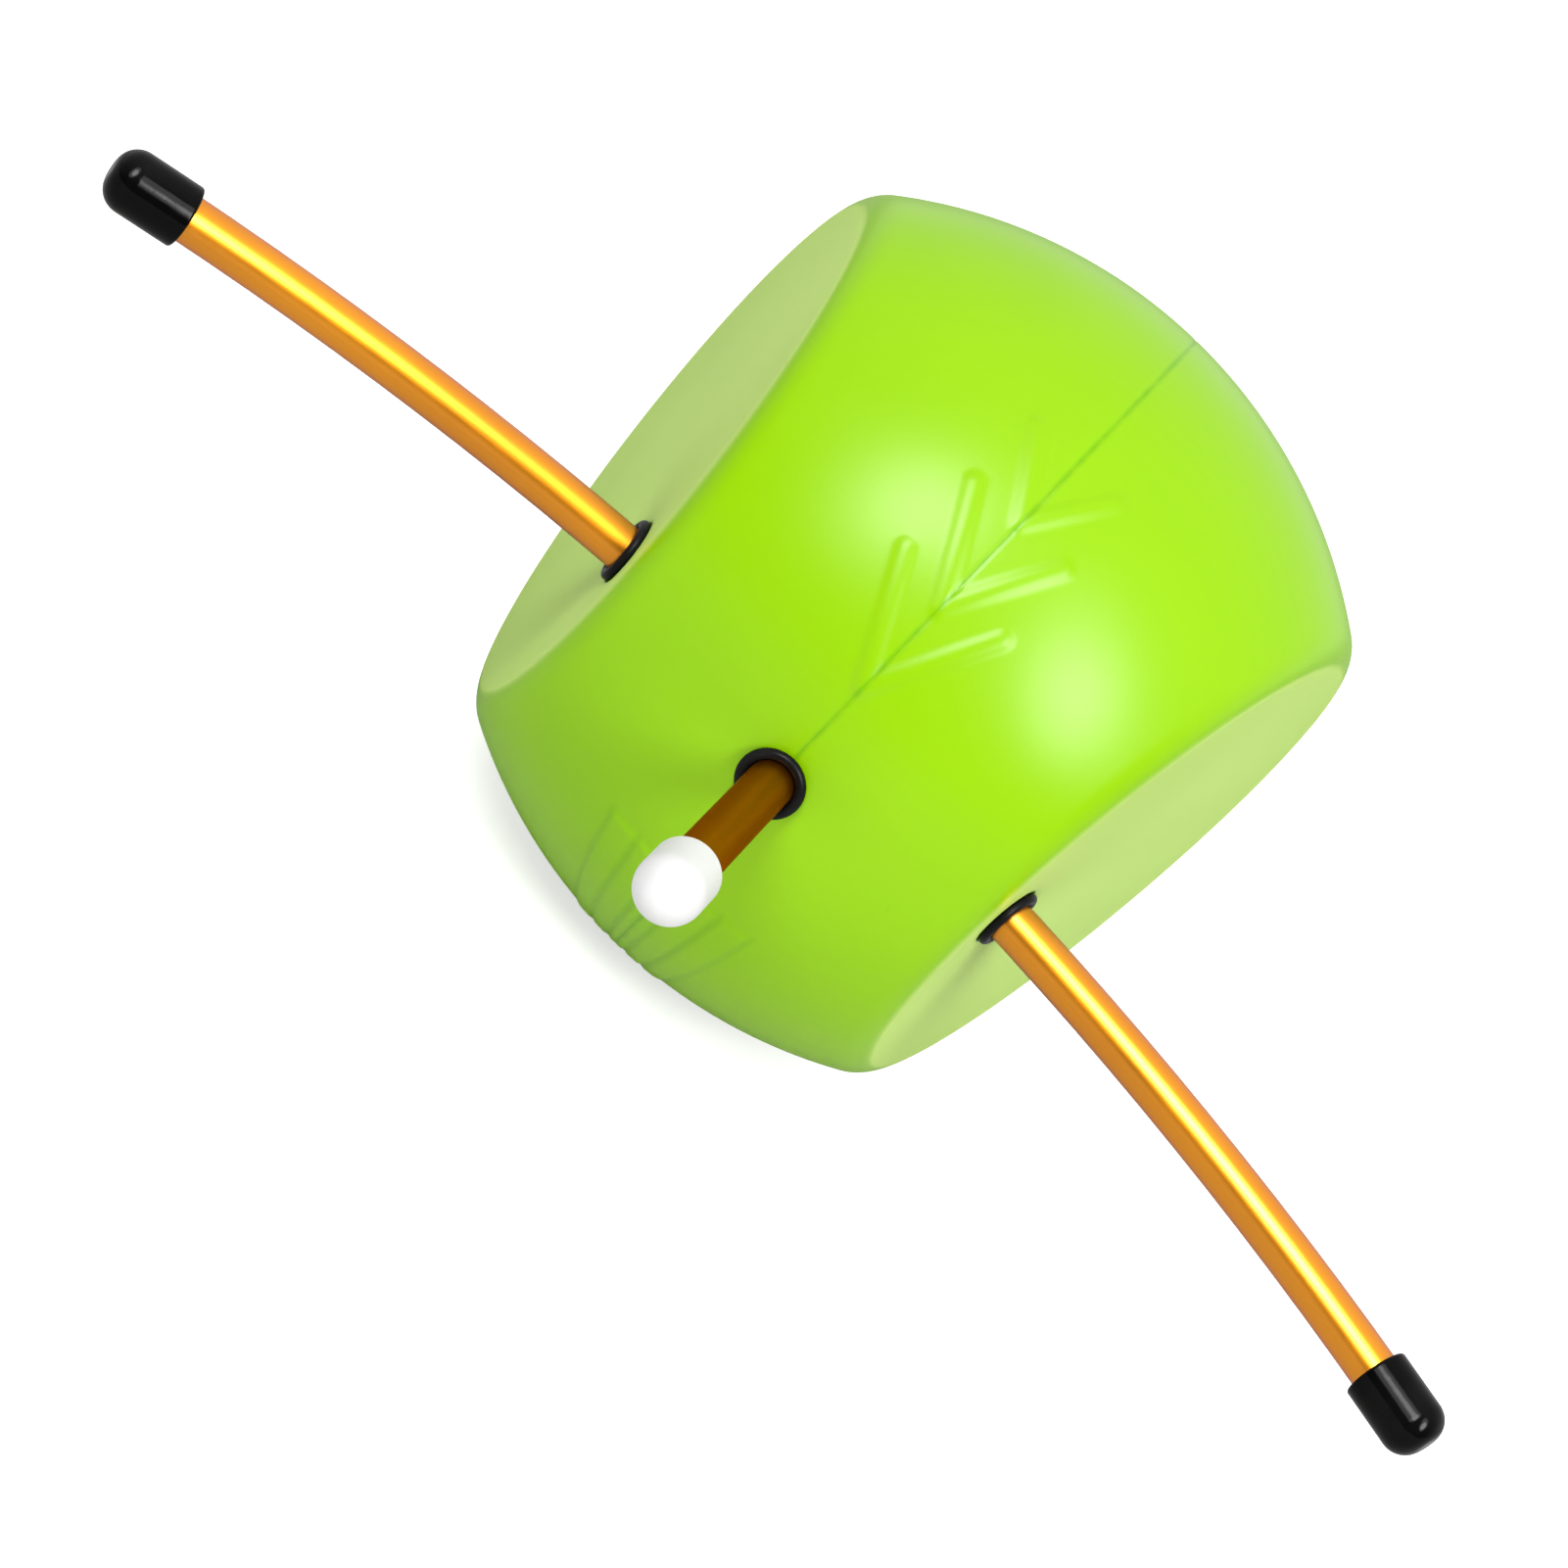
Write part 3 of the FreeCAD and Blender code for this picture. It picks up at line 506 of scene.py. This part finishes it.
def skin_grid():
    """Points of the right half's outer skin in rows from the seam to the face's middle."""
    front_low, front_high = math.radians(-82.0), math.radians(62.0)
    angles = steps((front_low, front_high, 300), (front_high, front_low + 2 * math.pi, 90))
    corner_x, corner_radius = corner_of_meridian(angles)
    seam_edge, relief_width, rim_zone = 0.6, 13.0, 6.0
    near_seam = steps((0.0, seam_edge, 6), (seam_edge, relief_width, 34))
    rows = [np.full_like(angles, value) for value in near_seam]
    for share in steps((0.0, 1.0, 12)):
        rows.append(relief_width + share * (corner_x - rim_zone - relief_width))
    for share in steps((0.0, 1.0, 12)):
        rows.append(corner_x - rim_zone * (1 - share))
    x = np.array(rows)
    radius = CROWN - BARREL_RADIUS + np.sqrt(BARREL_RADIUS ** 2 - x ** 2)
    middle_x = FACE_DISTANCE / math.cos(FACE_TILT)
    inward_x = []
    inward_radius = []
    for share in steps((0.0, 0.18, 12), (0.18, 1.0, 12)):
        inward_x.append(corner_x + (middle_x - corner_x) * share)
        inward_radius.append(corner_radius * (1 - share))
    x = np.vstack([x, inward_x])
    radius = np.vstack([radius, inward_radius])
    around = np.broadcast_to(angles, x.shape)
    points = np.stack([x, -radius * np.cos(around), radius * np.sin(around)], -1)
    return points


def settle_on_skin(points):
    """Points moved onto the rounded skin, and the skin's normals there."""
    for _ in range(6):
        distance, normal = body_distance(points)
        points = points - distance[:, None] * normal
    return points, body_distance(points)[1]


def shell_mesh(name, side):
    """One hollow half: outer skin with feathers, inner skin, and the flat seam between."""
    grid = skin_grid()
    rows, columns = grid.shape[:2]
    flat, normal = settle_on_skin(grid.reshape(-1, 3))
    flat[:columns, 0] = 0.0
    normal[:columns, 0] = 0.0
    normal[:columns] /= np.linalg.norm(normal[:columns], axis=1)[:, None]
    side_face = ramp_up(normal @ FACE_NORMAL, 0.955, 0.99)
    angle = np.arctan2(flat[:, 2], -flat[:, 1])
    seam_round = SEAM_ROUND * (1 - ramp_up(flat[:, 0], 0.0, SEAM_ROUND_REACH))
    lift = relief_height(flat[:, 0], angle) * (1 - side_face) - seam_round
    outer = flat + normal * lift[:, None]
    outer[:, 2] = np.maximum(outer[:, 2], FOOT)
    inner = flat - normal * WALL
    for skin in (outer, inner):
        skin[:columns, 0] = SEAM_GAP
    face_middle = np.array([[FACE_DISTANCE / math.cos(FACE_TILT), 0, 0]])
    points = np.vstack([outer, face_middle, inner, face_middle - FACE_NORMAL * WALL])
    points[:, 0] *= side
    points[:, 2] += CENTRE_HEIGHT
    half = len(outer) + 1
    faces = []
    for row in range(rows - 1):
        for column in range(columns):
            after = (column + 1) % columns
            a, b = row * columns + column, row * columns + after
            faces.append((a, b, b + columns, a + columns))
    last = (rows - 1) * columns
    for column in range(columns):
        faces.append((last + column, last + (column + 1) % columns, len(outer)))
    skin_faces = list(faces)
    faces.extend(tuple(half + index for index in reversed(face)) for face in skin_faces)
    for column in range(columns):
        after = (column + 1) % columns
        faces.append((after, column, half + column, half + after))
    if side < 0:
        faces = [tuple(reversed(face)) for face in faces]
    mesh = bpy.data.meshes.new(name)
    mesh.from_pydata((points * MM).tolist(), [], faces)
    # Painted shade along the seam groove, fading out from the seam.
    seam_shade_line = 1 - ramp_up(flat[:, 0], *SEAM_SHADE)
    # Painted shade in the tail fan's grooves, kept off the side faces.
    grooves = groove_shade(flat[:, 0], angle) * (1 - side_face)
    empty = np.zeros(half)
    fields = {"side_face": side_face, "seam_shade_line": seam_shade_line, "groove_shade_line": grooves}
    for title, values in fields.items():
        field = mesh.attributes.new(title, "FLOAT", "POINT")
        values = np.concatenate([values, values[-1:], empty])
        field.data.foreach_set("value", values.astype(np.float32))
    return mesh


def lathe(name, profile, segments, axis_place, start=0.0, stop=2 * math.pi):
    """A closed ring or solid turned about local Z from (radius, height) points in millimetres."""
    whole = abs(stop - start - 2 * math.pi) < TINY
    count = segments if whole else segments + 1
    mesh = bmesh.new()
    rings = []
    for radius, height in profile:
        if radius < TINY:
            rings.append([mesh.verts.new((0, 0, height * MM))] * count)
            continue
        ring = []
        for index in range(count):
            angle = start + (stop - start) * index / segments
            spot = Vector((radius * math.cos(angle), radius * math.sin(angle), height)) * MM
            ring.append(mesh.verts.new(spot))
        rings.append(ring)
    closed = profile[0][0] > TINY and profile[-1][0] > TINY
    pairs = list(zip(rings, rings[1:] + (rings[:1] if closed else [])))
    for lower, upper in pairs if closed else pairs[:len(rings) - 1]:
        for index in range(segments):
            after = (index + 1) % count
            corners = [lower[index], lower[after], upper[after], upper[index]]
            corners = [v for n, v in enumerate(corners) if v not in corners[:n]]
            if len(corners) > 2:
                mesh.faces.new(corners)
    if not whole:
        mesh.faces.new([ring[0] for ring in reversed(rings)])
        mesh.faces.new([ring[-1] for ring in rings])
    bmesh.ops.recalc_face_normals(mesh, faces=mesh.faces)
    mesh.transform(axis_place)
    data = bpy.data.meshes.new(name)
    mesh.to_mesh(data)
    mesh.free()
    return data


def aim(spot, direction):
    """Local Z along a direction, at a spot given in millimetres from the foot."""
    turn = Vector(direction).to_track_quat("Z", "Y").to_matrix().to_4x4()
    return Matrix.Translation(Vector(spot) * MM) @ turn


def side_ring_middle(side):
    """Where the wing's arc passes a side ring's middle plane, the face's normal, and the arc's way."""
    distance = FACE_DISTANCE - RING_SEAT + RING_SECTION + RING_GAP
    rise = (distance - WING_CENTRE * math.sin(FACE_TILT)) / WING_RADIUS
    angle = math.asin(rise) + FACE_TILT
    across = side * WING_RADIUS * math.sin(angle)
    middle = (across, WING_RADIUS * math.cos(angle) - WING_CENTRE, CENTRE_HEIGHT)
    normal = (side * math.cos(FACE_TILT), -math.sin(FACE_TILT), 0)
    return middle, normal, (side * math.cos(angle), -math.sin(angle), 0)


def seat_cutter(name, spot, direction):
    """A plug that sinks a side ring's round seat, with a softened edge, into the face."""
    floor = -RING_SECTION - RING_GAP
    wide = RING_BORE + 2 * RING_SECTION + RING_GAP
    lip = floor + RING_SEAT
    profile = [(0, floor), (wide, floor), (wide, lip - 0.25), (wide + 0.10, lip - 0.05),
               (wide + 0.35, lip + 0.15), (wide + 0.6, lip + 3), (0, lip + 3)]
    return new_object(name, lathe(name, profile, 72, aim(spot, direction)))


def bore_cutter(name, spot, direction):
    """A plug that cuts the side hole through the wall, along the bowed tube."""
    inside, outside = -8, -0.1
    profile = [(0, inside), (TUBE_GAP_RADIUS, inside), (TUBE_GAP_RADIUS, outside), (0, outside)]
    return new_object(name, lathe(name, profile, 72, aim(spot, direction)))


def beak_hole_cutter(name, spot, direction):
    """A plug that cuts the front hole, with a softened edge."""
    skin = -RING_SECTION - RING_GAP
    profile = [(0, skin - 6), (TUBE_GAP_RADIUS, skin - 6), (TUBE_GAP_RADIUS, skin - 0.25),
               (TUBE_GAP_RADIUS + 0.12, skin - 0.08), (TUBE_GAP_RADIUS + 0.35, skin + 0.15),
               (TUBE_GAP_RADIUS + 0.6, skin + 3), (0, skin + 3)]
    return new_object(name, lathe(name, profile, 72, aim(spot, direction)))


def new_object(name, mesh):
    item = bpy.data.objects.new(name, mesh)
    bpy.context.scene.collection.objects.link(item)
    return item


def cut_away(item, cutters):
    """Cut closed meshes from an object and keep the result as its mesh."""
    for cutter in cutters:
        cut = item.modifiers.new(cutter.name, "BOOLEAN")
        cut.operation = "DIFFERENCE"
        cut.solver = "EXACT"
        cut.object = cutter
    bpy.context.view_layer.update()
    depsgraph = bpy.context.evaluated_depsgraph_get()
    result = bpy.data.meshes.new_from_object(item.evaluated_get(depsgraph))
    item.modifiers.clear()
    item.data = result
    for cutter in cutters:
        bpy.data.objects.remove(cutter)


def smooth(mesh):
    """Smooth shading, with edges sharper than the crease angle kept crisp."""
    crease = math.radians(35.0)
    mesh.polygons.foreach_set("use_smooth", [True] * len(mesh.polygons))
    mesh.set_sharp_from_angle(angle=crease)


def join_meshes(target, extras):
    """Add further closed meshes to an object's mesh."""
    merged = bmesh.new()
    merged.from_mesh(target.data)
    for extra in extras:
        merged.from_mesh(extra)
    merged.to_mesh(target.data)
    merged.free()


def inner_fittings(side):
    """The half collar round the inner block and two posts for the ballast disc."""
    collar_axis = aim((0, 0, CENTRE_HEIGHT - BEAK_DROP), (0, -1, 0))
    bore, recess, outer, bevel = 5.65, 7.15, 9.0, 0.4
    back, recess_back, recess_front, front, bore_front = 44.5, 47.25, 50.35, 53.3, 53.6
    profile = [(bore, bore_front), (bore, recess_front), (recess, recess_front),
               (recess, recess_back), (bore, recess_back), (bore, back), (outer - bevel, back),
               (outer, back + bevel), (outer, front - bevel), (outer - bevel, front)]
    across = 1 if (collar_axis.to_3x3() @ Vector((1, 0, 0))).x > 0 else -1
    start = -math.pi / 2 if side * across > 0 else math.pi / 2
    joint_gap = 0.004
    stop = start + math.pi - joint_gap
    fittings = [lathe("collar", profile, 40, collar_axis, start + joint_gap, stop)]
    disc_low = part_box("ballast")[0][2] / MM
    foot, skirt_top, skirt, post_radius, post_bevel, post_place = 1.9, 3.0, 3.6, 3.4, 0.3, 9.0
    post = [(0, foot), (skirt - post_bevel, foot), (skirt, skirt_top),
            (post_radius, disc_low - post_bevel), (post_radius - post_bevel, disc_low), (0, disc_low)]
    for end in (-1, 1):
        spot = Vector((side * post_place, end * post_place, 0)) * MM
        fittings.append(lathe("post", post, 32, Matrix.Translation(spot)))
    return fittings


def build_shells(material):
    """Both halves of the body, each in place of its CAD shell."""
    for side_name, side in (("left", -1), ("right", 1)):
        item = new_object("body_shell_" + side_name, shell_mesh("body_shell_" + side_name, side))
        front = (0, -CROWN - RING_SECTION - RING_GAP, CENTRE_HEIGHT - BEAK_DROP)
        middle, normal, along = side_ring_middle(side)
        cut_away(item, [seat_cutter("ring_seat", middle, normal),
                        bore_cutter("wing_bore", middle, along),
                        beak_hole_cutter("beak_hole", front, (0, -1, 0))])
        join_meshes(item, inner_fittings(side))
        smooth(item.data)
        item.data.materials.clear()
        item.data.materials.append(material)
        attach(item, "body")
        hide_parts("shell_" + side_name)


# ---------------------------------------------------------------- carried-over parts

def dress(node, material):
    """Give a CAD node its finish."""
    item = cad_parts[node]
    if item.material_slots:
        for holder in item.material_slots:
            holder.material = material
    else:
        item.data.materials.append(material)


def dress_parts():
    """A finish for each carried-over node: tubes, rings, caps and the pieces inside."""
    gold = anodised("gold_anodised", light=(0.90, 0.325, 0.001), dark=(0.82, 0.285, 0.001),
                    edge=(0.36, 0.12, 0.0), roughness=0.35, coat=0.80, grain=(0.05, 1, 1))
    bronze = anodised("bronze_anodised", light=(0.44, 0.140, 0.001), dark=(0.36, 0.112, 0.001),
                      edge=(0.60, 0.30, 0.05), roughness=0.36, coat=0.02, grain=(1, 0.05, 1))
    ring = rubber("ring_rubber", base=(0.003, 0.003, 0.003), worn=(0.008, 0.008, 0.008),
                  low=0.28, high=0.42)
    vinyl = rubber("black_vinyl", base=(0.001, 0.001, 0.001), worn=(0.003, 0.003, 0.003),
                   low=0.08, high=0.14)
    dress("wing_tube", gold)
    dress("beak_tube", bronze)
    for node in ("ring_left", "ring_right", "ring_front"):
        dress(node, ring)
    for node in ("cap_left", "cap_right"):
        dress(node, vinyl)
    dress("cap_beak", white_vinyl())
    dress("tee_block", inner_plastic())
    dress("ballast", plated_steel("ballast_steel", (0.55, 0.56, 0.58)))
    dress("ballast_screws", plated_steel("screw_steel", (0.66, 0.65, 0.62)))


add_camera()
add_world()
add_floor()
for box_name, placing in SOFTBOXES.items():
    add_softbox(box_name, *placing)
bpy.context.scene.view_settings.view_transform = "Standard"
build_shells(lime_plastic())
dress_parts()
